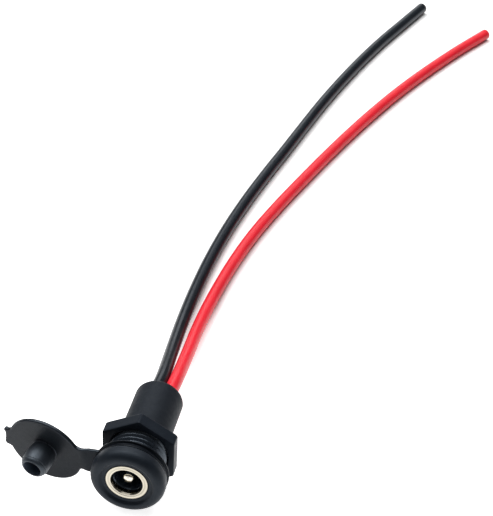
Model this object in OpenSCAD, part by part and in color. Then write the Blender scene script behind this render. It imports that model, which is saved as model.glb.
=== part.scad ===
// Panel-mount charging socket for a 5.5 mm barrel plug, with a tethered
// rubber dust cap, a hex panel nut, a moulded rear boot and two free leads.
// Origin: on the barrel axis, in the plane of the panel's front face, where
// the rubber ring seats. +Y runs back along the barrel to the leads, +Z is up.

/* [Flange] */
// Outside diameter of the flange
flange_d = 14; // [13:0.1:16]
// Thickness of the flange behind its front face
flange_t = 2.8; // [2.4:0.1:3.2]
// Radius of the flange's front edge
flange_edge_r = 1.5; // [0.8:0.1:1.7]
// Diameter of the shallow dish in which the metal ring lies
dish_d = 9.8; // [9:0.1:10.4]
// Depth of the dish in front of the metal ring
dish_h = 0.5; // [0.3:0.05:0.6]

/* [Barrel] */
// Outside diameter over the thread crests
thread_d = 11; // [10.8:0.1:11]
// Length of the threaded barrel behind the flange
barrel_l = 9.5; // [9:0.1:12]
// Diameter of the spigot that the boot grips
spigot_d = 7.6; // [7.4:0.1:8]
// Length of the spigot
spigot_l = 2; // [1.5:0.1:2.5]

/* [Socket] */
// Diameter of the bore that takes the plug
bore_d = 5.6; // [5.6:0.05:5.7]
// Depth of the bore from the front of the metal ring
bore_depth = 9.8; // [9.6:0.1:10]
// Diameter of the centre pin
pin_d = 2.1; // [2:0.1:2.5]
// How far the pin's tip lies behind the front of the metal ring
pin_recess = 0.8; // [0.5:0.1:1.5]
// Outside diameter of the metal front ring
ring_d = 8; // [7.6:0.1:8.4]
// Depth of the metal front ring
ring_t = 1.2; // [0.8:0.1:1.4]

/* [Nut] */
// Width of the hex nut across its flats
nut_af = 13.6; // [13:0.1:14]
// Thickness of the nut
nut_t = 2.6; // [2:0.1:3]
// Distance from the panel plane to the nut's front face
nut_at = 4; // [2:0.1:4.4]
// Turn of the nut about the barrel, in degrees
nut_turn = 27; // [0:0.1:60]

/* [Dust cap] */
// Diameter of the cap's disc
cap_d = 14.9; // [14:0.1:15]
// Thickness of the cap's disc
cap_t = 0.8; // [0.7:0.1:1]
// Largest diameter of the hollow plug
plug_d = 5.3; // [5:0.1:5.3]
// Length of the hollow plug
plug_l = 4.8; // [4:0.1:4.8]
// Diameter of the hole in the plug, which clears the centre pin
plug_hole_d = 3.6; // [3.6:0.1:3.8]
// Thickness of the rubber ring between flange and panel
gasket_t = 1.4; // [1.2:0.1:1.6]
// Width of the strap
strap_w = 5.4; // [4:0.1:5.6]
// Thickness of the strap
strap_t = 0.8; // [0.6:0.1:0.8]
// Fold of the cap from shut to where it lies open, in degrees
cap_open = 191; // [170:0.5:195]

/* [Boot] */
// Outside diameter of the rear boot
boot_d = 9.4; // [9:0.1:10]
// Length of the rear boot
boot_l = 12; // [11:0.1:13]
// Radius of the boot's rear edge
boot_edge_r = 1.2; // [0.6:0.1:1.6]

/* [Leads] */
// Outside diameter of each lead
wire_d = 2.75; // [2.2:0.05:2.75]
// Diameter of the stranded core
core_d = 1.5; // [1.2:0.1:1.5]
// Distance between the two leads where they leave the boot
wire_gap = 2.8; // [2.8:0.1:3]

/* [Hidden] */
$fn = 96;
e = 0.01;

// stations along the barrel
flange_back = -gasket_t;
flange_face = flange_back - flange_t;
ring_face = flange_face + dish_h;
ring_back = ring_face + ring_t;
bore_end = ring_face + bore_depth;
barrel_end = flange_back + barrel_l;
spigot_end = barrel_end + spigot_l;
boot_end = barrel_end + boot_l;
cavity_end = boot_end - 3.5;
insulation_start = cavity_end - 0.3;
pin_tip = ring_face + pin_recess;
lug_end = spigot_end + 3.3;
joint_at = spigot_end + 2.3;

// radius of the flange's rear edge
back_edge_r = 0.4;

// sections of the small metal pieces
pin_r = pin_d / 2;
shank_r = pin_r + 0.25;
rivet_r = 0.6;
head_r = 1;
nose_r = 0.6;
tag_t = 0.4;
tag_w = 1.8;
leaf_t = 0.35;
leaf_w = 1.8;
lead_x = wire_gap / 2;
lug_x = lead_x + core_d / 2 + 0.05;
solder_r = 1.1;

// the cap turns from shut to open about a point between the two places of its
// strap; the strap shares that turn between a fold at its root and one at its tip
shut_in = flange_face - 0.05;
shut_out = shut_in - cap_t;
strap_mid = -strap_t / 2 - 0.05;
strap_z = 1;
fold_x = -8.65;
fold_y = (strap_mid + (shut_in + shut_out) / 2) / 2;
fold_axis = [0.015, -0.061, 1];
hinge_y = strap_mid - strap_t / 2 - 0.2;
root_x = fold_x + (hinge_y - fold_y) / tan(cap_open / 4);

// rounded mouth of the hollow plug
tip_r = 0.75;
tip_at = plug_d / 2 - 0.25 - tip_r;

// routes of the leads, from inside the boot to the cut ends
RED_ROUTE = concat([[lead_x, insulation_start, 0], [lead_x, boot_end, 0]],
    [[1.4, 27, -1], [0.8, 38, -3.6], [0.3, 50, -5.6], [0.8, 62, -6.4],
     [2.2, 74, -6.45], [4.4, 86, -6.45], [7.5, 98, -6.45], [11.1, 110, -6.45],
     [14.9, 122, -6.45], [19, 134, -6.45], [23.5, 146, -6.45], [28.5, 158, -6.45],
     [34.2, 170, -6.45], [40.5, 182, -6.45], [46.9, 193, -6.45]]);
BLACK_ROUTE = concat([[-lead_x, insulation_start, 0], [-lead_x, boot_end, 0]],
    [[-1.4, 27, -1], [-2.5, 38, -3.6], [-3.4, 50, -5.6], [-3.6, 62, -6.4],
     [-3.1, 74, -6.45], [-2, 86, -6.45], [-0.3, 98, -6.45], [1.9, 110, -6.45],
     [4.4, 122, -6.45], [6.8, 134, -6.45], [9.3, 146, -6.45], [12.2, 158, -6.45],
     [15.5, 170, -6.45], [19.3, 182, -6.45], [23.7, 194, -6.45], [27.8, 205, -6.45]]);
wire_sides = 8;

// turns a shape made along Z so that it runs along Y
module along_y() rotate([-90, 0, 0]) children();

// plain round bar between two stations on the axis
module bar(d, from, to) along_y() translate([0, 0, from]) cylinder(d = d, h = to - from);

// point i of a route, held at the ends
function at(p, i) = p[max(0, min(len(p) - 1, i))];

// point of a smooth curve through the route, between points i and i + 1
function smooth(p, i, t) =
    let (a = at(p, i - 1), b = at(p, i), c = at(p, i + 1), d = at(p, i + 2))
    0.5 * (2 * b + (c - a) * t + (2 * a - 5 * b + 4 * c - d) * t * t
           + (3 * b - a - 3 * c + d) * t * t * t);

// two rings for each stretch past the boot, one in its straight start
function rings(p) = concat(
    [p[0]],
    [for (i = [1 : len(p) - 2], t = [0, 0.5]) smooth(p, i, t)],
    [p[len(p) - 1]]);

function unit(v) = v / norm(v);
function heading(q, i) = i == 0 ? [0, 1, 0] : i == 1 ? [0, 1, 0] : unit(at(q, i + 1) - at(q, i - 1));

// one closed tube swept along the rings
module tube(route, d) {
    q = rings(route);
    n = wire_sides;
    r = d / 2 / cos(180 / n) * 0.98;
    pts = [for (i = [0 : len(q) - 1])
               let (t = heading(q, i), s = unit(cross(t, [0, 0, 1])), u = cross(s, t))
               for (k = [0 : n - 1])
                   let (w = 180 / n + 360 * k / n)
                   q[i] + r * (cos(w) * s + sin(w) * u)];
    last = (len(q) - 1) * n;
    faces = concat(
        [[for (k = [0 : n - 1]) k]],
        [for (i = [0 : len(q) - 2], k = [0 : n - 1])
             let (j = (k + 1) % n)
             [i * n + k, (i + 1) * n + k, (i + 1) * n + j, i * n + j]],
        [[for (k = [n - 1 : -1 : 0]) last + k]]);
    polyhedron(points = pts, faces = faces, convexity = 8);
}

// hole in the boot with the same section as a lead
module lead_hole(x) translate([x, 0, 0])
    along_y() translate([0, 0, cavity_end - e]) rotate([0, 0, 180 / wire_sides])
        cylinder(r = wire_d / 2 / cos(180 / wire_sides) * 0.98,
                 h = boot_end - cavity_end + 2 * e, $fn = wire_sides);

// half section of the body: flange, barrel and spigot
module housing_section() {
    intersection() {
        union() {
            translate([0, flange_face]) square([flange_d / 2 - flange_edge_r, flange_t]);
            translate([0, flange_face + flange_edge_r])
                square([flange_d / 2, flange_t - flange_edge_r - back_edge_r]);
            translate([flange_d / 2 - flange_edge_r, flange_face + flange_edge_r]) circle(flange_edge_r);
            translate([0, flange_back - back_edge_r]) square([flange_d / 2 - back_edge_r, back_edge_r]);
            translate([flange_d / 2 - back_edge_r, flange_back - back_edge_r]) circle(back_edge_r);
        }
        translate([0, flange_face]) square([flange_d / 2 + 1, flange_t]);
    }
    polygon([[0, flange_back - 0.5], [thread_d / 2, flange_back - 0.5],
             [thread_d / 2, barrel_end - 0.5], [thread_d / 2 - 0.5, barrel_end],
             [0, barrel_end]]);
    translate([0, barrel_end - 1]) square([spigot_d / 2, spigot_l + 1]);
}

// one-piece moulded body
module socket_housing() color([0.12, 0.14, 0.17]) difference() {
    along_y() rotate_extrude() housing_section();
    along_y() translate([0, 0, flange_face - e])
        cylinder(d1 = dish_d, d2 = dish_d - 0.4, h = dish_h + 0.06 + e);
    bar(ring_d + 0.1, ring_face - 1, ring_back);
    bar(bore_d, ring_face - 1, bore_end);
    along_y() translate([0, 0, ring_back - e])
        cylinder(d1 = bore_d + 0.4, d2 = bore_d, h = 0.2);
    bar(2 * shank_r, bore_end - e, spigot_end + e);
    // channel beside the bore for the leaf contact, and its slot through the rear wall
    translate([-3.6, bore_end - 6, -leaf_w / 2 - 0.2]) cube([1.1, 6, leaf_w + 0.4]);
    translate([-3.36, bore_end - e, -leaf_w / 2 - 0.02])
        cube([0.42, spigot_end - bore_end + 2 * e, leaf_w + 0.04]);
}

// plated ring let into the front face
module front_ring() color([0.86, 0.83, 0.74]) difference() {
    bar(ring_d, ring_face, ring_back);
    bar(bore_d + 0.1, ring_face - 1, ring_back + 1);
    along_y() translate([0, 0, ring_face - e])
        cylinder(d1 = bore_d + 0.5, d2 = bore_d + 0.1, h = 0.2);
}

// turned centre pin with a blunt nose, a shank in the rear wall and a riveted end
module center_pin() color([0.86, 0.84, 0.78]) along_y() rotate_extrude() {
    translate([0, pin_tip]) square([pin_r - nose_r, nose_r]);
    intersection() {
        translate([pin_r - nose_r, pin_tip + nose_r]) circle(nose_r);
        translate([0, pin_tip]) square([pin_r, nose_r]);
    }
    translate([0, pin_tip + nose_r]) square([pin_r, bore_end - pin_tip - nose_r]);
    translate([0, bore_end]) square([shank_r, spigot_end - bore_end]);
    translate([0, spigot_end]) square([rivet_r, tag_t]);
    translate([0, spigot_end + tag_t]) square([head_r, tag_t]);
}

// bent solder tag riveted to the centre pin
module pin_terminal() color([0.80, 0.74, 0.55]) difference() {
    union() {
        translate([-1.2, spigot_end, -1]) cube([lug_x + tag_t + 1.2, tag_t, 2]);
        translate([lug_x, spigot_end, -tag_w / 2]) cube([tag_t, lug_end - spigot_end, tag_w]);
    }
    bar(2 * rivet_r, spigot_end - e, spigot_end + tag_t + e);
}

// centreline of the leaf contact, from its solder tag to its free tip
LEAF = [[-lug_x - leaf_t / 2, lug_end], [-lug_x - leaf_t / 2, spigot_end + 1.3],
        [-3.15, spigot_end + 0.3], [-3.15, bore_end - 1.8], [-2.93, bore_end - 4.4],
        [-3.15, bore_end - 5.7]];
function leaf_normal(i) =
    let (t = unit(at(LEAF, i + 1) - at(LEAF, i - 1))) [-t[1], t[0]];

// sprung leaf that bears on the outside of the plug
module sleeve_contact() color([0.80, 0.74, 0.55])
    translate([0, 0, -leaf_w / 2]) linear_extrude(height = leaf_w)
        polygon(concat(
            [for (i = [0 : len(LEAF) - 1]) LEAF[i] + leaf_normal(i) * leaf_t / 2],
            [for (i = [len(LEAF) - 1 : -1 : 0]) LEAF[i] - leaf_normal(i) * leaf_t / 2]));

// bare end of a lead's stranded core, lying against its tag
module core(x) translate([x, 0, 0]) bar(core_d, joint_at - 0.6, insulation_start);

// bead of solder round the core and against the tag
module solder() difference() {
    translate([lead_x, joint_at, 0]) along_y() rotate_extrude()
        polygon([[0, -1], [core_d / 2 + 0.15, -1], [solder_r, -0.4],
                 [solder_r, 0.4], [core_d / 2 + 0.15, 1], [0, 1]]);
    core(lead_x);
    translate([lug_x, joint_at - 3, -3]) cube([3, 6, 6]);
}

module positive_solder() color([0.75, 0.75, 0.76]) solder();
module negative_solder() color([0.75, 0.75, 0.76]) mirror([1, 0, 0]) solder();
module red_core() color([0.80, 0.45, 0.25]) core(lead_x);
module black_core() color([0.80, 0.45, 0.25]) core(-lead_x);

module red_lead() color([0.90, 0.12, 0.18]) tube(RED_ROUTE, wire_d);
module black_lead() color([0.09, 0.10, 0.11]) tube(BLACK_ROUTE, wire_d);

// moulded boot over the terminals
module rear_boot() color([0.17, 0.18, 0.20]) difference() {
    along_y() rotate_extrude() {
        translate([0, barrel_end]) square([boot_d / 2, boot_l - boot_edge_r]);
        translate([0, barrel_end]) square([boot_d / 2 - boot_edge_r, boot_l]);
        translate([boot_d / 2 - boot_edge_r, boot_end - boot_edge_r]) circle(boot_edge_r);
    }
    bar(spigot_d, barrel_end - 1, spigot_end);
    bar(spigot_d - 0.5, spigot_end - e, cavity_end);
    lead_hole(lead_x);
    lead_hole(-lead_x);
}

// hex nut, chamfered at the rear
module panel_nut() color([0.11, 0.13, 0.16]) difference() {
    intersection() {
        along_y() translate([0, 0, nut_at]) rotate([0, 0, -nut_turn])
            cylinder(r = nut_af / sqrt(3), h = nut_t, $fn = 6);
        along_y() rotate_extrude()
            polygon([[0, nut_at - 1], [nut_af * 0.62, nut_at - 1],
                     [nut_af * 0.62, nut_at + nut_t - 0.6],
                     [nut_af * 0.555, nut_at + nut_t], [0, nut_at + nut_t]]);
    }
    bar(thread_d + 0.1, nut_at - 1, nut_at + nut_t + 1);
    along_y() translate([0, 0, nut_at - e])
        cylinder(d1 = thread_d + 0.7, d2 = thread_d + 0.1, h = 0.3);
    along_y() translate([0, 0, nut_at + nut_t - 0.3 + e])
        cylinder(d1 = thread_d + 0.1, d2 = thread_d + 0.7, h = 0.3);
}

// rubber ring behind the flange, grooved in front of its rear bead, with the root of the strap
module tether_ring() color([0.20, 0.21, 0.23]) difference() {
    union() {
        along_y() rotate_extrude()
            polygon([[0, -gasket_t], [flange_d / 2 - 0.1, -gasket_t], [flange_d / 2 - 0.44, -0.5],
                     [flange_d / 2, -0.32], [flange_d / 2, 0], [0, 0]]);
        translate([root_x + 0.02, strap_mid - strap_t / 2, strap_z - strap_w / 2])
            cube([-root_x - 5, strap_t, strap_w]);
    }
    bar(thread_d + 0.1, -gasket_t - 1, 1);
}

// free length of the strap between its two folds
module cap_strap() color([0.21, 0.22, 0.24])
    translate([fold_x - 0.25, strap_mid - strap_t / 2, strap_z - strap_w / 2])
        cube([root_x - 0.08 - fold_x + 0.25, strap_t, strap_w]);

// puts a piece made in the shut place where the cap lies open
module open_place()
    translate([fold_x, fold_y, 0]) rotate(a = -cap_open, v = fold_axis)
        translate([-fold_x, -fold_y, 0]) children();

// cap with the end of its strap, its hollow plug and its pull tab
module dust_cap() color([0.22, 0.23, 0.25]) open_place() difference() {
    union() {
        along_y() rotate_extrude() {
            translate([0, shut_out]) square([cap_d / 2 - cap_t / 3, cap_t]);
            translate([0, shut_out + cap_t / 3]) square([cap_d / 2, cap_t / 3]);
            translate([cap_d / 2 - cap_t / 3, shut_out + cap_t / 3]) circle(cap_t / 3);
            translate([cap_d / 2 - cap_t / 3, shut_in - cap_t / 3]) circle(cap_t / 3);
            // barrel-shaped wall of the plug
            intersection() {
                translate([plug_d / 2 - 11, shut_in + plug_l / 2]) circle(11, $fn = 360);
                union() {
                    translate([0, shut_in - e]) square([plug_d / 2 + 1, plug_l - tip_r + e]);
                    translate([0, shut_in]) square([tip_at, plug_l]);
                    translate([tip_at, shut_in + plug_l - tip_r]) circle(tip_r);
                }
            }
        }
        translate([-cap_d / 2 - 0.25, (shut_in + shut_out - strap_t) / 2, strap_z - strap_w / 2])
            cube([1.35, strap_t, strap_w]);
        translate([0, (shut_in + shut_out + strap_t) / 2, 0]) rotate([90, 0, 0])
            linear_extrude(height = strap_t)
                polygon([[6.6, -2.3], [cap_d / 2 + 0.2, -1.9], [cap_d / 2 + 0.9, -1.8],
                         [cap_d / 2 + 1.25, -1.2], [cap_d / 2 + 0.95, 0.3],
                         [cap_d / 2 + 0.9, 1.2], [cap_d / 2 + 1.1, 2.1],
                         [cap_d / 2 + 0.75, 2.4], [cap_d / 2 + 0.2, 2.2], [6.6, 2.7]]);
    }
    bar(plug_hole_d, shut_in + 0.5, shut_in + plug_l + 1);
}

socket_housing();
front_ring();
center_pin();
pin_terminal();
sleeve_contact();
positive_solder();
negative_solder();
red_core();
black_core();
red_lead();
black_lead();
rear_boot();
panel_nut();
tether_ring();
cap_strap();
dust_cap();
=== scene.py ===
import math

import bmesh
import bpy
import numpy as np
from mathutils import Matrix, Quaternion, Vector
from mathutils.geometry import delaunay_2d_cdt


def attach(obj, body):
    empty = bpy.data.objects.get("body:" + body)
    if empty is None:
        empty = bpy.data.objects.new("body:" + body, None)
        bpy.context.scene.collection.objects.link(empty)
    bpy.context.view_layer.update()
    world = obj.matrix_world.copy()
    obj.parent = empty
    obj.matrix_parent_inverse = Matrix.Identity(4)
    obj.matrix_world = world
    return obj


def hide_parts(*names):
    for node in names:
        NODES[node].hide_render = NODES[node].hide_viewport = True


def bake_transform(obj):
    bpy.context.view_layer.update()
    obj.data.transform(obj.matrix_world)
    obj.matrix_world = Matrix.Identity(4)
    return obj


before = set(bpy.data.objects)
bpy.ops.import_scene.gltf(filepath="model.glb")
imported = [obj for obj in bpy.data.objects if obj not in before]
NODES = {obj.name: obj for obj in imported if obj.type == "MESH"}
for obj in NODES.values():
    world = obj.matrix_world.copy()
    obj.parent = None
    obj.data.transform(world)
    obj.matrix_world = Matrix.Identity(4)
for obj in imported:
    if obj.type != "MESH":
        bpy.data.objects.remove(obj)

scene = bpy.context.scene
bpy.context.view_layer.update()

# ---------------------------------------------------------------- camera
cam_data = bpy.data.cameras.new("camera")
cam_data.sensor_fit = "AUTO"
cam_data.sensor_width = 36.0
cam_data.lens = 108.43
cam_data.clip_start, cam_data.clip_end = 0.01, 20.0
cam = bpy.data.objects.new("camera", cam_data)
scene.collection.objects.link(cam)
cam.location = (0.06387, -0.19599, 0.1970)
cam.rotation_euler = (math.radians(90 - 36.126), 0.0, math.radians(12.272))
scene.camera = cam

# ---------------------------------------------------------------- sizes of the frame, in millimetres
FLANGE_FACE, FLANGE_BACK = -4.2, -1.4
RING_FACE, RING_BACK = -3.7, -2.5
BORE_END, BARREL_END, SPIGOT_END = 6.1, 8.1, 10.1
BOOT_END, CAVITY_END = 20.1, 16.6
NUT_AT, NUT_T, NUT_AF, NUT_TURN = 4.0, 2.6, 13.6, 27.0
SHUT_IN, CAP_T, CAP_R = -4.25, 0.8, 7.45
FOLD = Vector((-8.65, -2.55, 0.0))
FOLD_AXIS = Vector((0.015, -0.061, 1.0)).normalized()
CAP_OPEN = 191.0
STRAP_MID, STRAP_Z, STRAP_W = -0.45, 1.0, 5.4
FLOOR_Z = -7.845


# ---------------------------------------------------------------- mesh helpers
def finish_mesh(name, bm, sharp=38.0, recalc=True):
    """A smooth-shaded object, in metres, from a bmesh in millimetres."""
    if recalc:
        bmesh.ops.recalc_face_normals(bm, faces=bm.faces)
    bmesh.ops.scale(bm, vec=(0.001, 0.001, 0.001), verts=bm.verts)
    me = bpy.data.meshes.new(name)
    bm.to_mesh(me)
    bm.free()
    for p in me.polygons:
        p.use_smooth = True
    me.set_sharp_from_angle(angle=math.radians(sharp))
    ob = bpy.data.objects.new(name, me)
    scene.collection.objects.link(ob)
    return ob


def rounded(points, n=5):
    """A polyline of (r, y, fillet) points with each corner replaced by an arc."""
    out = []
    k = len(points)
    for i, (x, y, f) in enumerate(points):
        if f <= 0 or i in (0, k - 1):
            out.append((x, y))
            continue
        p = Vector((x, y))
        a = (Vector(points[i - 1][:2]) - p)
        b = (Vector(points[i + 1][:2]) - p)
        la, lb = a.length, b.length
        a, b = a / la, b / lb
        ang = math.acos(max(-1.0, min(1.0, a.dot(b))))
        if ang > math.pi - 1e-3:
            out.append((x, y))
            continue
        d = min(f / math.tan(ang / 2), 0.49 * la, 0.49 * lb)
        r = d * math.tan(ang / 2)
        c = p + (a + b).normalized() * (r / math.sin(ang / 2))
        s, e = p + a * d - c, p + b * d - c
        t0 = math.atan2(s.y, s.x)
        dt = math.atan2(s.x * e.y - s.y * e.x, s.dot(e))
        for j in range(n + 1):
            t = t0 + dt * j / n
            out.append((c.x + r * math.cos(t), c.y + r * math.sin(t)))
    return out


def revolve_rings(bm, rings, seg, loop=False):
    """Rings of (radius, station) as numbers or as functions of the angle, turned about Y."""
    rows = []
    for r, y in rings:
        if not callable(r) and r < 1e-6:
            rows.append([bm.verts.new((0.0, y, 0.0))])
            continue
        row = []
        for k in range(seg):
            a = 2 * math.pi * k / seg
            rr = r(a) if callable(r) else r
            yy = y(a) if callable(y) else y
            row.append(bm.verts.new((rr * math.cos(a), yy, rr * math.sin(a))))
        rows.append(row)
    pairs = list(zip(rows[:-1], rows[1:]))
    if loop:
        pairs.append((rows[-1], rows[0]))
    for p, q in pairs:
        for k in range(seg):
            j = (k + 1) % seg
            if len(p) == 1 and len(q) == 1:
                continue
            if len(p) == 1:
                bm.faces.new((p[0], q[j], q[k]))
            elif len(q) == 1:
                bm.faces.new((p[k], p[j], q[0]))
            else:
                bm.faces.new((p[k], p[j], q[j], q[k]))
    return rows


def revolve(name, profile, seg=128, loop=False, sharp=38.0):
    bm = bmesh.new()
    revolve_rings(bm, profile, seg, loop)
    return finish_mesh(name, bm, sharp)


def cut(ob, *cutters):
    """Cuts closed solids out of a piece and keeps the result as its mesh."""
    for c in cutters:
        m = ob.modifiers.new("cut", "BOOLEAN")
        m.operation, m.solver, m.object = "DIFFERENCE", "EXACT", c
    dg = bpy.context.evaluated_depsgraph_get()
    me = bpy.data.meshes.new_from_object(ob.evaluated_get(dg))
    ob.modifiers.clear()
    old, ob.data = ob.data, me
    bpy.data.meshes.remove(old)
    for c in cutters:
        old = c.data
        bpy.data.objects.remove(c)
        bpy.data.meshes.remove(old)
    for p in me.polygons:
        p.use_smooth = True
    me.set_sharp_from_angle(angle=math.radians(38))
    return ob


def box_solid(name, lo, hi):
    bm = bmesh.new()
    v = [bm.verts.new((x, y, z)) for x in (lo[0], hi[0]) for y in (lo[1], hi[1]) for z in (lo[2], hi[2])]
    for f in ((0, 1, 3, 2), (4, 6, 7, 5), (0, 4, 5, 1), (2, 3, 7, 6), (0, 2, 6, 4), (1, 5, 7, 3)):
        bm.faces.new([v[i] for i in f])
    return finish_mesh(name, bm)


def bar_solid(name, x, z, r, y0, y1, seg=48, turn=0.0):
    """A round bar along Y, turned by a share of one of its sides."""
    bm = bmesh.new()
    revolve_rings(bm, [(0.0, y0), (r, y0), (r, y1), (0.0, y1)], seg)
    bmesh.ops.rotate(bm, matrix=Matrix.Rotation(2 * math.pi * turn / seg, 3, "Y"), verts=bm.verts)
    bmesh.ops.translate(bm, vec=(x, 0.0, z), verts=bm.verts)
    return finish_mesh(name, bm)


def smoothstep(a, b, x):
    t = min(1.0, max(0.0, (x - a) / (b - a)))
    return t * t * (3 - 2 * t)


# ---------------------------------------------------------------- material helpers
class Mat:
    """A node material with a Principled shader, built up by small named steps."""

    def __init__(self, name):
        self.m = bpy.data.materials.new(name)
        self.m.use_nodes = True
        self.t = self.m.node_tree
        self.b = self.t.nodes["Principled BSDF"]
        self.coord = self.t.nodes.new("ShaderNodeTexCoord")

    def set(self, **kw):
        for k, v in kw.items():
            self.b.inputs[k.replace("_", " ")].default_value = v
        return self

    def node(self, kind, **inputs):
        n = self.t.nodes.new(kind)
        for k, v in inputs.items():
            n.inputs[k.replace("_", " ")].default_value = v
        return n

    def link(self, a, b):
        self.t.links.new(a, b)

    def mapped(self, scale=(1, 1, 1), rot=(0, 0, 0)):
        n = self.node("ShaderNodeMapping")
        n.inputs["Scale"].default_value = scale
        n.inputs["Rotation"].default_value = rot
        self.link(self.coord.outputs["Object"], n.inputs["Vector"])
        return n.outputs["Vector"]

    def noise(self, scale, detail=3.0, rough=0.55, vector=None, distort=0.0):
        n = self.node("ShaderNodeTexNoise", Scale=scale, Detail=detail, Roughness=rough, Distortion=distort)
        self.link(vector if vector is not None else self.coord.outputs["Object"], n.inputs["Vector"])
        return n.outputs["Fac"]

    def radius(self):
        """Distance from the barrel's axis."""
        flat = self.node("ShaderNodeVectorMath")
        flat.operation = "MULTIPLY"
        flat.inputs[1].default_value = (1.0, 0.0, 1.0)
        self.link(self.coord.outputs["Object"], flat.inputs[0])
        length = self.node("ShaderNodeVectorMath")
        length.operation = "LENGTH"
        self.link(flat.outputs["Vector"], length.inputs[0])
        return length.outputs["Value"]

    def ramp(self, fac, *stops):
        n = self.node("ShaderNodeValToRGB")
        el = n.color_ramp.elements
        while len(el) < len(stops):
            el.new(0.5)
        for e, (p, c) in zip(el, stops):
            e.position = p
            e.color = (*c, 1.0) if len(c) == 3 else c
        self.link(fac, n.inputs["Fac"])
        return n.outputs["Color"]

    def spread(self, fac, lo, hi, a=0.3, b=0.7):
        n = self.node("ShaderNodeMapRange")
        n.inputs["From Min"].default_value, n.inputs["From Max"].default_value = a, b
        n.inputs["To Min"].default_value, n.inputs["To Max"].default_value = lo, hi
        self.link(fac, n.inputs["Value"])
        return n.outputs["Result"]

    def bump(self, height, distance, strength=1.0, after=None):
        n = self.node("ShaderNodeBump", Strength=strength, Distance=distance)
        self.link(height, n.inputs["Height"])
        if after is not None:
            self.link(after, n.inputs["Normal"])
        return n.outputs["Normal"]

    def out(self, colour=None, rough=None, normal=None):
        if colour is not None:
            self.link(colour, self.b.inputs["Base Color"])
        if rough is not None:
            self.link(rough, self.b.inputs["Roughness"])
        if normal is not None:
            self.link(normal, self.b.inputs["Normal"])
        return self.m


# COOL tints the reflections of the dark plastics, the rubber and the black insulation blue: painted cool light in their
# reflections. PLAIN leaves a colour white.
COOL, PLAIN = (0.74, 0.86, 1.0, 1.0), (1.0, 1.0, 1.0, 1.0)


def moulded(name, dark, mid, light, rough=(0.42, 0.56), grain=5200.0, depth=0.000012, spec=0.32):
    """Moulded plastic: fine grain, faint flow marks, uneven sheen."""
    k = Mat(name).set(Specular_IOR_Level=spec, Specular_Tint=COOL)
    broad = k.noise(260.0, 4.0, 0.6)
    fine = k.noise(grain, 4.0, 0.6)
    colour = k.ramp(broad, (0.25, dark), (0.52, mid), (0.8, light))
    n1 = k.bump(fine, depth, 0.9)
    n2 = k.bump(k.noise(900.0, 2.0, 0.5), depth * 1.6, 0.5, n1)
    return k.out(colour, k.spread(k.noise(1400.0, 3.0, 0.6), *rough), n2)


def rubber(name, dark, mid, light, spec=0.3, rough=(0.55, 0.72), bloom=0.02):
    """Soft rubber: matt skin with a fine stipple and dusty bloom."""
    k = Mat(name).set(Specular_IOR_Level=spec, Specular_Tint=COOL, Sheen_Weight=bloom, Sheen_Roughness=0.5)
    broad = k.noise(330.0, 5.0, 0.65)
    stipple = k.noise(7600.0, 3.0, 0.6)
    colour = k.ramp(broad, (0.22, dark), (0.5, mid), (0.82, light))
    n1 = k.bump(stipple, 0.000014, 0.9)
    n2 = k.bump(k.noise(1100.0, 3.0, 0.6), 0.000018, 0.5, n1)
    return k.out(colour, k.spread(k.noise(1700.0, 3.0, 0.6), *rough), n2)


def plated(name, dark, light, rough=(0.16, 0.3), turned=True, scratch=0.000004):
    """Plated or bare metal: turned marks round the Y axis, faint stains."""
    k = Mat(name).set(Metallic=1.0)
    if turned:
        sep = k.node("ShaderNodeSeparateXYZ")
        k.link(k.coord.outputs["Object"], sep.inputs["Vector"])
        ring = k.node("ShaderNodeCombineXYZ")
        k.link(k.radius(), ring.inputs["X"])
        k.link(sep.outputs["Y"], ring.inputs["Y"])
        marks = k.noise(9000.0, 4.0, 0.7, ring.outputs["Vector"])
        stain = k.noise(3400.0, 2.0, 0.5, ring.outputs["Vector"])
    else:
        marks = k.noise(9000.0, 4.0, 0.7, k.mapped((1.0, 0.06, 1.0)))
        stain = k.noise(620.0, 5.0, 0.65, distort=0.4)
    colour = k.ramp(stain, (0.32, dark), (0.68, light))
    normal = k.bump(marks, scratch, 0.8)
    return k.out(colour, k.spread(k.noise(2300.0, 4.0, 0.6), *rough), normal)


def insulation(name, dark, mid, light, rough=(0.3, 0.42), spec=0.45, tint=PLAIN):
    """Extruded wire insulation: long faint draw lines and small scuffs."""
    k = Mat(name).set(Specular_IOR_Level=spec, Specular_Tint=tint)
    broad = k.noise(180.0, 4.0, 0.6)
    colour = k.ramp(broad, (0.25, dark), (0.5, mid), (0.8, light))
    scuff = k.noise(2600.0, 5.0, 0.7)
    draw = k.noise(3000.0, 3.0, 0.6, k.mapped((1.0, 0.05, 1.0), (0.0, 0.0, -0.25)))
    n1 = k.bump(draw, 0.00001, 0.5)
    n2 = k.bump(k.noise(420.0, 2.0, 0.5), 0.00004, 0.35, n1)
    return k.out(colour, k.spread(scuff, *rough), n2)


M_BODY = moulded("body_plastic", (0.0070, 0.0096, 0.0138), (0.0086, 0.0116, 0.0164), (0.0108, 0.0142, 0.0194), (0.42, 0.54), spec=0.18)
# a lighter, much glossier copy of the body plastic: painted highlight on the thread's crests
M_THREAD_HIGHLIGHT = moulded("thread_plastic_painted_highlight", (0.0096, 0.0128, 0.0184), (0.0118, 0.0156, 0.0220), (0.0146, 0.0190, 0.0262), (0.22, 0.32), depth=0.000006, spec=0.8)
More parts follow.
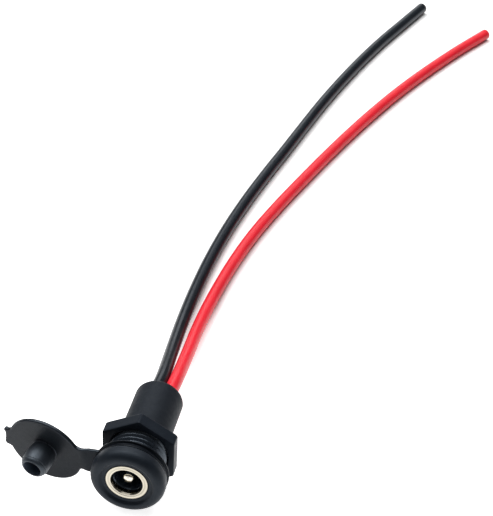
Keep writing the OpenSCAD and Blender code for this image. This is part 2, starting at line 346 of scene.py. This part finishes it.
# a much lighter, glossier copy of the body plastic: painted light and highlight inside the bore
M_BORE_LIT = moulded("bore_plastic_painted_light", (0.0220, 0.0290, 0.0420), (0.0280, 0.0370, 0.0520), (0.0350, 0.0450, 0.0620), (0.13, 0.20), spec=0.8)
M_NUT = moulded("nut_plastic", (0.0080, 0.0108, 0.0156), (0.0100, 0.0132, 0.0186), (0.0124, 0.0162, 0.0222), (0.36, 0.48), spec=0.11)
M_BOOT = moulded("boot_plastic", (0.0084, 0.0104, 0.0140), (0.0104, 0.0126, 0.0166), (0.0128, 0.0152, 0.0196), (0.50, 0.64), 3600.0, 0.000016, 0.13)
M_CAP = rubber("cap_rubber", (0.0045, 0.0060, 0.0086), (0.0056, 0.0073, 0.0103), (0.0073, 0.0092, 0.0126), 0.10, (0.32, 0.46))
# a lighter, glossier copy of the cap's rubber for the rims of disc and strap: painted highlight along their edges
M_CAP_EDGE_HIGHLIGHT = rubber("cap_edge_rubber_painted_highlight", (0.0056, 0.0074, 0.0104), (0.0070, 0.0090, 0.0124), (0.0090, 0.0112, 0.0150), 0.26, (0.26, 0.36))
# a lighter, glossier copy of the cap's rubber: painted highlight along the plug
M_PLUG_HIGHLIGHT = rubber("plug_rubber_painted_highlight", (0.0076, 0.0100, 0.0140), (0.0096, 0.0124, 0.0170), (0.0122, 0.0152, 0.0204), 0.6, (0.40, 0.52))
# a much lighter copy of the cap's rubber: painted light inside the plug's hollow
M_HOLE_LIT = rubber("plug_hole_rubber_painted_light", (0.0320, 0.0410, 0.0580), (0.0410, 0.0530, 0.0730), (0.0510, 0.0650, 0.0880), 0.3, (0.36, 0.48))
# a darker copy of the cap's rubber: painted shade on the rubber ring behind the flange
M_GASKET_SHADE = rubber("ring_rubber_painted_shade", (0.0028, 0.0038, 0.0056), (0.0034, 0.0046, 0.0066), (0.0044, 0.0058, 0.0080), 0.13, (0.28, 0.40), 0.0)
M_RING = plated("plated_ring", (0.335, 0.307, 0.247), (0.595, 0.553, 0.461), (0.14, 0.26))
M_PIN = plated("plated_pin", (0.58, 0.54, 0.46), (0.80, 0.76, 0.67), (0.10, 0.20))
M_BRASS = plated("contact_brass", (0.55, 0.38, 0.14), (0.80, 0.61, 0.28), (0.24, 0.38), False)
M_SOLDER = plated("solder_tin", (0.48, 0.48, 0.50), (0.72, 0.72, 0.74), (0.22, 0.40), False, 0.00001)
M_COPPER = plated("copper_strand", (0.52, 0.20, 0.08), (0.86, 0.42, 0.22), (0.22, 0.36), False)
M_RED = insulation("red_insulation", (0.64, 0.0084, 0.0200), (0.72, 0.0115, 0.0260), (0.79, 0.0165, 0.0330), (0.32, 0.44), 0.4)
M_BLACK = insulation("black_insulation", (0.0056, 0.0074, 0.0104), (0.0074, 0.0096, 0.0130), (0.0100, 0.0126, 0.0164), (0.26, 0.34), 0.32, COOL)


def wear(ob, mat, slot, *more):
    places = [f.material_index for f in ob.data.polygons] if more else []
    ob.data.materials.clear()
    for m in (mat, *more):
        ob.data.materials.append(m)
    for f, i in zip(ob.data.polygons, places):
        f.material_index = i
    return ob


# ---------------------------------------------------------------- the two leads
def route(points, per=8):
    """Smooth centreline through the route's points, the way the solids run."""
    p = [Vector(q) for q in points]
    at = lambda i: p[max(0, min(len(p) - 1, i))]
    out = [p[0] + (p[1] - p[0]) * (j / 4) for j in range(4)]
    for i in range(1, len(p) - 1):
        a, b, c, d = at(i - 1), at(i), at(i + 1), at(i + 2)
        for j in range(per):
            t = j / per
            out.append(0.5 * (2 * b + (c - a) * t + (2 * a - 5 * b + 4 * c - d) * t * t
                              + (3 * b - a - 3 * c + d) * t ** 3))
    out.append(p[-1])
    return out


def frames(path):
    """Tangent, side and up at each point, without twist."""
    k = len(path)
    tan = [(path[min(i + 1, k - 1)] - path[max(i - 1, 0)]).normalized() for i in range(k)]
    side = tan[0].cross(Vector((0, 0, 1))).normalized()
    out = []
    for t in tan:
        side = (side - t * side.dot(t)).normalized()
        out.append((t, side, side.cross(t)))
    return out


def lead(name, points, r, core_r, sides=36):
    """Insulated wire with a square-cut end that shows its inner wall."""
    path = route(points)
    fr = frames(path)
    bm = bmesh.new()
    rows = []

    def ring(p, f, rad):
        rows.append([bm.verts.new(p + rad * (math.cos(w) * f[1] + math.sin(w) * f[2]))
                     for w in (2 * math.pi * k / sides for k in range(sides))])

    ring(path[0], fr[0], core_r)
    for p, f in zip(path[:-1], fr[:-1]):
        ring(p, f, r + (1.375 - r) * (1 - smoothstep(20.1, 30.0, p.y)))
    end, f = path[-1], fr[-1]
    ring(end - f[0] * 0.07, f, r)
    ring(end - f[0] * 0.02, f, r - 0.02)
    ring(end, f, r - 0.07)
    ring(end + f[0] * 0.0, f, core_r + 0.05)
    ring(end - f[0] * 0.05, f, core_r)
    ring(end - f[0] * 1.6, f, core_r)
    for a, b in zip(rows[:-1], rows[1:]):
        for k in range(sides):
            j = (k + 1) % sides
            bm.faces.new((a[k], a[j], b[j], b[k]))
    bm.faces.new(rows[0])
    bm.faces.new(rows[-1])
    return finish_mesh(name, bm, 50.0), path, fr


def strands(name, end, f, core_r):
    """Cut end of the stranded core: bare copper wires packed in rings."""
    bm = bmesh.new()
    wire_r = core_r / 5.15
    places = [(0.0, 0.0)]
    for n, rr in ((6, 2.02), (12, 3.96)):
        for k in range(n):
            a = 2 * math.pi * (k + (0.5 if n == 12 else 0.0)) / n
            places.append((rr * wire_r * math.cos(a), rr * wire_r * math.sin(a)))
    for i, (x, y) in enumerate(places):
        out = 0.03 * math.sin(i * 2.4) - 0.05
        rows = []
        for d, rad in ((-1.5, wire_r), (out - 0.03, wire_r), (out, wire_r * 0.75)):
            rows.append([bm.verts.new(end + f[0] * d + f[1] * (x + rad * math.cos(w)) + f[2] * (y + rad * math.sin(w)))
                         for w in (2 * math.pi * k / 12 for k in range(12))])
        for a, b in zip(rows[:-1], rows[1:]):
            for k in range(12):
                j = (k + 1) % 12
                bm.faces.new((a[k], a[j], b[j], b[k]))
        bm.faces.new(rows[0])
        bm.faces.new(rows[-1])
    return finish_mesh(name, bm, 50.0)


RED_ROUTE = [(1.4, 16.3, 0), (1.4, 20.1, 0), (1.4, 27, -1), (0.8, 38, -3.6), (0.3, 50, -5.6),
             (0.8, 62, -6.4), (2.2, 74, -6.45), (4.4, 86, -6.45), (7.5, 98, -6.45), (11.1, 110, -6.45),
             (14.9, 122, -6.45), (19, 134, -6.45), (23.5, 146, -6.45), (28.5, 158, -6.45), (34.2, 170, -6.45),
             (40.5, 182, -6.45), (46.9, 193, -6.45)]
BLACK_ROUTE = [(-1.4, 16.3, 0), (-1.4, 20.1, 0), (-1.4, 27, -1), (-2.5, 38, -3.6), (-3.4, 50, -5.6),
               (-3.6, 62, -6.4), (-3.1, 74, -6.45), (-2, 86, -6.45), (-0.3, 98, -6.45), (1.9, 110, -6.45),
               (4.4, 122, -6.45), (6.8, 134, -6.45), (9.3, 146, -6.45), (12.2, 158, -6.45), (15.5, 170, -6.45),
               (19.3, 182, -6.45), (23.7, 194, -6.45), (27.8, 205, -6.45)]

for colour, points, mat, exit_x, rad in (("red", RED_ROUTE, M_RED, 1.4, 1.375), ("black", BLACK_ROUTE, M_BLACK, -1.4, 1.42)):
    wire, path, fr = lead(colour + "_wire", points, rad, 0.75)
    wear(wire, mat, colour + "_insulation")
    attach(wire, "socket")
    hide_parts(colour + "_lead")
    ends = strands(colour + "_wire_strands", path[-1], fr[-1], 0.75)
    wear(ends, M_COPPER, "copper")
    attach(ends, "socket")

# ---------------------------------------------------------------- moulded body with its thread
PITCH, CREST, ROOT = 1.0, 5.5, 4.98


def thread_radius(y):
    """Radius of the right-hand thread at a station, as a function of the angle."""
    fade = smoothstep(0.1, 0.7, y) * (1 - smoothstep(7.15, 7.7, y))
    limit = CREST - max(0.0, y - (BARREL_END - 0.5))

    def r(a):
        f = ((y - 0.28) / PITCH + a / (2 * math.pi)) % 1.0
        s = 1 - (math.hypot(abs(2 * f - 1), 0.28) - 0.28) / (math.hypot(1.0, 0.28) - 0.28)
        return min(limit, CREST - (CREST - ROOT) * (1 - s) * fade - 0.04 * (1 - fade))
    return r


front = rounded([(1.3, BORE_END, 0), (2.8, BORE_END, 0.2), (2.8, -2.24, 0.06), (3.02, RING_BACK, 0.06),
                 (4.06, RING_BACK, 0.05), (4.06, -3.64, 0.05), (4.62, -3.64, 0.5), (5.1, FLANGE_FACE, 0.5),
                 (5.9, FLANGE_FACE, 0)], 6)[:-1]
edge = []
for j in range(15):
    t = math.pi / 2 * j / 14
    edge.append((5.5 + 1.5 * math.sin(t), FLANGE_FACE + 1.5 - 1.5 * math.cos(t)))
rear = rounded([(7.0, -2.7, 0), (7.0, FLANGE_BACK, 0.4), (5.5, FLANGE_BACK, 0.05), (5.5, -0.6, 0)], 6)[1:]
barrel = [(thread_radius(y), y) for y in np.arange(0.0, 8.101, 0.0405)]
tail = rounded([(5.0, BARREL_END, 0), (3.8, BARREL_END, 0.1), (3.8, SPIGOT_END, 0.15), (1.3, SPIGOT_END, 0)], 4)[1:]
profile = [p for p in front if p[0] <= 5.5] + [e for e in edge if e[0] > 5.5] + rear + barrel + tail
body = revolve("moulded_body", profile, 144, loop=True)
cut(body,
    box_solid("channel", (-3.6, 0.1, -1.1), (-2.4, 6.1, 1.1)),
    box_solid("slot", (-3.36, 6.0, -0.92), (-2.94, 10.4, 0.92)))
# the barrel behind the flange takes the lighter, glossier thread copy: painted highlight on the crests
wear(body, M_BODY, "body_plastic", M_THREAD_HIGHLIGHT, M_BORE_LIT)
# faces of the bore take the much lighter copy: painted light inside the bore
for f in body.data.polygons:
    c = f.center * 1000
    if math.hypot(c.x, c.z) < 3.05:
        f.material_index = 2
    elif c.y > -0.05:
        f.material_index = 1
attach(body, "socket")
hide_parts("socket_housing")

# ---------------------------------------------------------------- plated ring and centre pin
ring = revolve("contact_ring", rounded([
    (3.93, -3.0, 0), (3.93, RING_FACE, 0.08), (3.72, RING_FACE, 0.2), (3.46, RING_FACE + 0.07, 0.3), (3.22, RING_FACE, 0.2),
    (3.03, RING_FACE, 0.03), (2.86, RING_FACE + 0.34, 0.05), (2.85, RING_BACK, 0.05), (3.93, RING_BACK, 0.06),
    (3.93, -3.0, 0)], 6)[:-1], 160, loop=True)
wear(ring, M_RING, "plated_metal")
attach(ring, "socket")
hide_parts("front_ring")

pin = revolve("contact_pin", rounded([
    (0.0, -2.9, 0), (0.28, -2.88, 0.4), (1.05, -2.62, 0.62), (1.05, BORE_END, 0), (1.3, BORE_END, 0.03), (1.3, SPIGOT_END, 0.05),
    (0.6, SPIGOT_END, 0), (0.6, SPIGOT_END + 0.4, 0), (1.0, SPIGOT_END + 0.4, 0.05), (1.0, SPIGOT_END + 0.8, 0.15),
    (0.0, SPIGOT_END + 0.8, 0)], 8), 72)
wear(pin, M_PIN, "plated_metal")
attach(pin, "socket")
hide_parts("center_pin")

# ---------------------------------------------------------------- hex nut with softened corners
APOTHEM = NUT_AF / 2


def hex_radius(a):
    s = 0.0
    for k in range(6):
        c = math.cos(a - math.radians(NUT_TURN + 30 + 60 * k))
        if c > 0:
            s += c ** 100
    return APOTHEM / s ** (1 / 100)


def nut_outer(y, shrink=0.0):
    cone = NUT_AF * 0.62 - (NUT_AF * 0.065) * max(0.0, (y - (NUT_AT + NUT_T - 0.6)) / 0.6)
    return lambda a: min(hex_radius(a), cone) - shrink


nut_rear = NUT_AT + NUT_T
rings = [(5.55, 5.0), (5.55, NUT_AT + 0.3), (5.85, NUT_AT), (6.1, NUT_AT), (nut_outer(NUT_AT, 0.16), NUT_AT),
         (nut_outer(NUT_AT, 0.09), NUT_AT + 0.015), (nut_outer(NUT_AT, 0.03), NUT_AT + 0.06), (nut_outer(NUT_AT), NUT_AT + 0.16)]
rings += [(nut_outer(y), y) for y in np.linspace(NUT_AT + 0.6, nut_rear - 0.2, 8)]
rings += [(nut_outer(nut_rear - 0.1, 0.01), nut_rear - 0.1), (nut_outer(nut_rear - 0.04, 0.05), nut_rear - 0.03),
          (nut_outer(nut_rear, 0.12), nut_rear), (6.1, nut_rear), (5.85, nut_rear), (5.55, nut_rear - 0.3)]
nut = revolve("hex_nut", rings, 360, loop=True, sharp=24.0)
wear(nut, M_NUT, "nut_plastic")
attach(nut, "nut")
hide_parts("panel_nut")

# ---------------------------------------------------------------- rear boot
boot = revolve("boot", rounded([
    (3.82, BARREL_END, 0), (4.7, BARREL_END, 0.18), (4.7, BOOT_END, 1.2), (0.0, BOOT_END, 0)], 14)
    + rounded([(0.0, CAVITY_END, 0), (3.55, CAVITY_END, 0.5), (3.55, SPIGOT_END, 0), (3.82, SPIGOT_END, 0)], 5),
    128, loop=True)
cut(boot, bar_solid("hole_a", 1.4, 0.0, 1.385, CAVITY_END - 1, BOOT_END + 1, turn=0.5),
    bar_solid("hole_b", -1.4, 0.0, 1.385, CAVITY_END - 1, BOOT_END + 1, turn=0.5))
wear(boot, M_BOOT, "boot_plastic")
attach(boot, "socket")
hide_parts("rear_boot")

# ---------------------------------------------------------------- rubber ring, strap and cap
gasket = revolve("rubber_ring", rounded([
    (6.2, FLANGE_BACK, 0), (6.9, FLANGE_BACK, 0.1), (6.56, -0.5, 0.12), (6.8, -0.38, 0.08), (7.0, -0.32, 0.16), (7.0, 0.0, 0.16),
    (5.55, 0.0, 0.08), (5.55, FLANGE_BACK, 0.08), (6.2, FLANGE_BACK, 0)], 6)[:-1], 144, loop=True)
# the ring wears the darker copy of the cap's rubber: painted shade behind the flange
wear(gasket, M_GASKET_SHADE, "cap_rubber")
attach(gasket, "socket")

OPEN = Matrix.Translation(FOLD) @ Matrix.Rotation(-math.radians(CAP_OPEN), 4, FOLD_AXIS) @ Matrix.Translation(-FOLD)
Q_CAP = OPEN.to_quaternion()
Q_STRAP = Quaternion((0, 0, 1), math.pi)
if Q_CAP.dot(Q_STRAP) < 0:
    Q_STRAP.negate()
DISC_MID = SHUT_IN - CAP_T / 2


def arc(cx, cy, r, a0, a1, n):
    return [(cx + r * math.cos(a0 + (a1 - a0) * j / n), cy + r * math.sin(a0 + (a1 - a0) * j / n)) for j in range(n + 1)]


def cap_outline(centre):
    """Outline of disc, strap and pull tab laid flat: u runs from the tab towards the strap, v up."""
    low, high = centre - STRAP_W / 2, centre + STRAP_W / 2
    far = 11.2
    pts = []
    # lower edge of the strap, filleted into the disc
    f = 0.7
    c = math.sqrt((CAP_R + f) ** 2 - (low - f) ** 2)
    pts += arc(far - 0.45, low + 0.45, 0.45, 0.0, -math.pi / 2, 6) + [(c + 0.4, low)]
    pts += arc(c, low - f, f, math.pi / 2, math.atan2(-(low - f), -c), 8)
    # pull tab with a hollowed end
    t_low, t_high = math.asin(-2.15 / CAP_R), math.asin(2.65 / CAP_R)
    a_low, a_high = -math.pi - t_low, math.pi - t_high
    pts += arc(0, 0, CAP_R, math.atan2(low - f, c), a_low + 0.05, 72)[1:]
    on = lambda a: (CAP_R * math.cos(a), CAP_R * math.sin(a))
    pts += rounded([(*on(a_low + 0.05), 0), (*on(a_low), 0.3), (-7.7, -1.95, 0.4), (-8.2, -1.9, 0.4), (-8.52, -1.3, 0.4),
                    (-8.22, 0.3, 1.2), (-8.14, 1.25, 0.8), (-8.38, 2.12, 0.14), (-8.05, 2.45, 0.16), (-7.68, 2.3, 0.25),
                    (*on(a_high), 0.3), (*on(a_high - 0.05), 0)], 5)[1:]
    # upper edge of the strap
    f2 = 1.1
    c2 = math.sqrt((CAP_R + f2) ** 2 - (high + f2) ** 2)
    e_disc = math.atan2(high + f2, c2)
    pts += arc(0, 0, CAP_R, a_high - 0.05, e_disc, 72)[1:]
    pts += arc(c2, high + f2, f2, e_disc + math.pi, 1.5 * math.pi, 8)[1:]
    pts += [(c2 + 0.4, high)] + arc(far - 0.45, high - 0.45, 0.45, math.pi / 2, 0.0, 6)
    clean = [pts[0]]
    for p in pts[1:]:
        if math.dist(p, clean[-1]) > 0.02:
            clean.append(p)
    # even spacing along the straight runs
    out = []
    for p, q in zip(clean, clean[1:] + clean[:1]):
        k = max(1, int(math.dist(p, q) / 0.16))
        out += [(p[0] + (q[0] - p[0]) * j / k, p[1] + (q[1] - p[1]) * j / k) for j in range(k)]
    return out


def turned_left(pts):
    return sum(p[0] * q[1] - q[0] * p[1] for p, q in zip(pts, pts[1:] + pts[:1])) > 0


def corner_room(pts, d):
    """Share of an inset that each point can take before a tight corner would cross itself."""
    k = len(pts)
    tight = []
    for i in range(k):
        a, b, c = Vector(pts[i - 1]), Vector(pts[i]), Vector(pts[(i + 1) % k])
        turn = math.atan2((b - a).cross(c - b), (b - a).dot(c - b))
        r = ((b - a).length + (c - b).length) / 2 / turn if turn > 1e-4 else 99.0
        tight.append(min(1.0, 0.7 * r / d))
    return [min(t + math.dist(pts[i], q) / 0.9 for q, t in zip(pts, tight)) for i in range(k)]


def inset(pts, d, room):
    """The outline moved inwards."""
    out, k = [], len(pts)
    for i in range(k):
        a, b, c = Vector(pts[i - 1]), Vector(pts[i]), Vector(pts[(i + 1) % k])
        n1 = Vector((-(b - a).y, (b - a).x)).normalized()
        n2 = Vector((-(c - b).y, (c - b).x)).normalized()
        n = (n1 + n2)
        n = n / max(0.35, n.length_squared / 2) if n.length > 1e-6 else n1
        out.append(tuple(b + n * d * room[i]))
    return out


def bend_point(u, v, w, table):
    """Flat plate to its place: the disc stays flat and the strap bends over to the rubber ring."""
    i = min(len(table) - 2, max(0, int((u - table[0][0]) / (table[1][0] - table[0][0]))))
    u0, p0, q0 = table[i]
    u1, p1, q1 = table[i + 1]
    t = (u - u0) / (u1 - u0)
    q = q0.slerp(q1, min(1.0, max(0.0, t)))
    p = p0.lerp(p1, t)
    return p + q @ Vector((0.0, w, v))


def bend_table():
    start, stop = 7.45, 9.2
    u, step = -9.0, 0.05
    p = OPEN @ Vector((-u, DISC_MID, 0.0))
    rows = []
    while u < 11.6:
        s = smoothstep(start, stop, u)
        q = Q_CAP.slerp(Q_STRAP, s)
        rows.append((u, p.copy(), q.copy()))
        p = p + (q @ Vector((-1.0, 0.0, 0.0))) * step
        u += step
    return rows


TABLE = bend_table()
REST = STRAP_MID - TABLE[-1][1].y
# the small rest of the height goes into the bend, so that the strap meets the ring in its plane
for u, p, q in TABLE:
    p.y += REST * smoothstep(7.3, 9.4, u)
OUTLINE = cap_outline(STRAP_Z - TABLE[-1][1].z)


def plate(name, keep_cap, seam_x):
    outline = list(OUTLINE)
    if not turned_left(outline):
        outline.reverse()
    edge_r, n = 0.26, 5
    levels = []
    for j in range(n + 1):
        t = math.pi / 2 * j / n
        levels.append((edge_r * (1 - math.sin(t)), CAP_T / 2 - edge_r + edge_r * math.cos(t)))
    room = corner_room(outline, edge_r)
    inner = inset(outline, levels[0][0], room)
    k = len(inner)
    grid = []
    poly = np.array(inner)
    spots = [(u, v + 0.21 * (i % 2)) for i, u in enumerate(np.arange(-8.4, 7.2, 0.42))
             for v in np.arange(-7.4, 7.5, 0.42)]
    spots += [(u, v + 0.15 * (i % 2)) for i, u in enumerate(np.arange(7.35, 11.1, 0.17)) for v in np.arange(-4.0, 5.0, 0.3)]
    for u, v in spots:
        if np.min(np.hypot(poly[:, 0] - u, poly[:, 1] - v)) < 0.14:
            continue
        inside = False
        for a in range(k):
            (x1, y1), (x2, y2) = inner[a], inner[(a + 1) % k]
            if (y1 > v) != (y2 > v) and u < (x2 - x1) * (v - y1) / (y2 - y1) + x1:
                inside = not inside
        if inside:
            grid.append((float(u), float(v)))
    coords = [Vector(p) for p in inner] + [Vector(p) for p in grid]
    verts2, _, faces2, *_ = delaunay_2d_cdt(coords, [(i, (i + 1) % k) for i in range(k)], [], 1, 1e-6)
    bm = bmesh.new()

    def put(p, w):
        return bm.verts.new(bend_point(p[0], p[1], w, TABLE))

    loops = []
    top_map = {}
    for sign in (1, -1):
        vmap = [put(p, sign * CAP_T / 2) for p in verts2]
        top_map[sign] = vmap
        for f in faces2:
            bm.faces.new([vmap[i] for i in (f if sign > 0 else reversed(f))])
    # the triangulation keeps the outline's own points first
    loops.append(top_map[1][:k])
    for d, w in levels[1:]:
        loops.append([put(p, w) for p in inset(outline, d, room)])
    for d, w in reversed(levels[1:]):
        loops.append([put(p, -w) for p in inset(outline, d, room)])
    loops.append(top_map[-1][:k])
    # the rim faces take the second slot, the lighter copy of the rubber: painted highlight on the edges
    for a, b in zip(loops[:-1], loops[1:]):
        for i in range(k):
            j = (i + 1) % k
            bm.faces.new((a[i], a[j], b[j], b[i])).material_index = 1
    bmesh.ops.remove_doubles(bm, verts=bm.verts, dist=1e-5)
    bmesh.ops.recalc_face_normals(bm, faces=bm.faces)
    got = bmesh.ops.bisect_plane(bm, geom=bm.verts[:] + bm.edges[:] + bm.faces[:], plane_co=(seam_x, 0, 0),
                                 plane_no=(1, 0, 0), clear_outer=keep_cap, clear_inner=not keep_cap)
    rim = [e for e in got["geom_cut"] if isinstance(e, bmesh.types.BMEdge)]
    bmesh.ops.triangle_fill(bm, use_beauty=True, use_dissolve=False, edges=rim)
    bmesh.ops.recalc_face_normals(bm, faces=bm.faces)
    return finish_mesh(name, bm, 40.0, recalc=False)


SEAM_X = -7.6
strap_root = plate("strap_root", False, SEAM_X)
wear(strap_root, M_CAP, "cap_rubber", M_CAP_EDGE_HIGHLIGHT)
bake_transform(strap_root)
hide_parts("tether_ring", "cap_strap")
disc = plate("cap_disc", True, SEAM_X)
wear(disc, M_CAP, "cap_rubber", M_CAP_EDGE_HIGHLIGHT)
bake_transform(disc)
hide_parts("dust_cap")

# hollow plug of the cap
plug_l, plug_r, tip_r, hole_r = 4.8, 2.65, 0.75, 1.74
wall = []
for j in range(25):
    y = plug_l * j / 24
    wall.append((plug_r - (y - plug_l / 2) ** 2 / 22.0, y))
tip_at = plug_r - 0.25 - tip_r
outer = [(2.42, -0.12), (2.48, 0.02), (2.43, 0.07), (2.42, 0.16)] + [p for p in wall if 0.3 < p[1] < plug_l - tip_r]
for j in range(9):
    t = math.pi / 2 * j / 8
    r = tip_at + tip_r * math.cos(t)
    if r > hole_r + 0.12:
        outer.append((r, plug_l - tip_r + tip_r * math.sin(t)))
lip = plug_l - 0.02
outer += [(hole_r + 0.12, lip), (hole_r + 0.05, lip - 0.02), (hole_r, lip - 0.1), (hole_r, 0.7), (hole_r - 0.15, 0.52),
          (0.0, 0.5)]
bm = bmesh.new()
revolve_rings(bm, [(0.0, -0.12)] + outer, 112)
bmesh.ops.translate(bm, vec=(0, SHUT_IN, 0), verts=bm.verts)
bmesh.ops.transform(bm, matrix=OPEN, verts=bm.verts)
plug = finish_mesh("cap_plug", bm)
# faces inside the hollow take the much lighter copy (painted light in the hole); the rest take the plug's glossier copy
# (painted highlight)
for f in plug.data.polygons:
    c = OPEN.inverted() @ (f.center * 1000)
    f.material_index = int(math.hypot(c.x, c.z) < hole_r + 0.02 and c.y > SHUT_IN + 0.3)
wear(plug, M_PLUG_HIGHLIGHT, "cap_rubber", M_HOLE_LIT)
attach(plug, "cap")

# ---------------------------------------------------------------- pieces that stay as they are
for name, mat in (("pin_terminal", M_BRASS), ("sleeve_contact", M_BRASS), ("positive_solder", M_SOLDER),
                  ("negative_solder", M_SOLDER), ("red_core", M_COPPER), ("black_core", M_COPPER)):
    ob = NODES[name]
    ob.data.materials.clear()
    ob.data.materials.append(mat)

# ---------------------------------------------------------------- floor, light
bm = bmesh.new()
s = 3000.0
bm.faces.new([bm.verts.new(p) for p in ((-s, -s, FLOOR_Z), (s, -s, FLOOR_Z), (s, s, FLOOR_Z), (-s, s, FLOOR_Z))])
floor = finish_mesh("floor", bm)
# The floor glows in an oval round the socket, stretched along the leads, full near it and gone further out: painted
# light that fills the cast shadows near the object.
k = Mat("floor_paper_glow").set(Roughness=0.85, Specular_IOR_Level=0.1, Emission_Color=PLAIN)
off = k.node("ShaderNodeVectorMath")
off.operation = "DISTANCE"
off.inputs[1].default_value = (-0.008, 0.0036, FLOOR_Z * 0.001)
k.link(k.mapped((1.0, 0.72, 1.0)), off.inputs[0])
k.link(k.spread(off.outputs["Value"], 0.85, 0.0, 0.023, 0.041), k.b.inputs["Emission Strength"])
floor.data.materials.append(k.out(k.ramp(k.noise(30.0, 3.0), (0.3, (0.90, 0.90, 0.90)), (0.7, (0.92, 0.92, 0.92)))))

world = bpy.data.worlds.new("studio")
scene.world = world
world.use_nodes = True
world.node_tree.nodes["Background"].inputs["Color"].default_value = (1.0, 1.0, 1.0, 1.0)
world.node_tree.nodes["Background"].inputs["Strength"].default_value = 0.08


def area(name, where, at, size, power, colour=(1, 1, 1)):
    d = bpy.data.lights.new(name, "AREA")
    d.shape, d.size, d.size_y = "RECTANGLE", size[0], size[1]
    d.energy, d.color = power, colour
    o = bpy.data.objects.new(name, d)
    scene.collection.objects.link(o)
    o.location = where
    o.rotation_mode = "QUATERNION"
    o.rotation_quaternion = (Vector(at) - Vector(where)).to_track_quat("-Z", "Y")
    return o


area("key", (0.0, 0.50, 1.0), (0.02, 0.03, 0.0), (1.1, 0.7), 11.5)
area("top", (-0.1, 0.0, 1.30), (0.0, 0.03, 0.0), (1.6, 1.2), 5.5)
area("back", (-0.40, 1.80, 0.80), (0.0, 0.08, 0.0), (0.8, 0.6), 4.2)
area("side", (-0.62, 0.30, 0.90), (0.0, 0.10, 0.0), (0.8, 0.8), 6.5)

scene.view_settings.view_transform = "Standard"
scene.view_settings.look = "None"
scene.view_settings.exposure = 0.0
scene.view_settings.gamma = 1.0
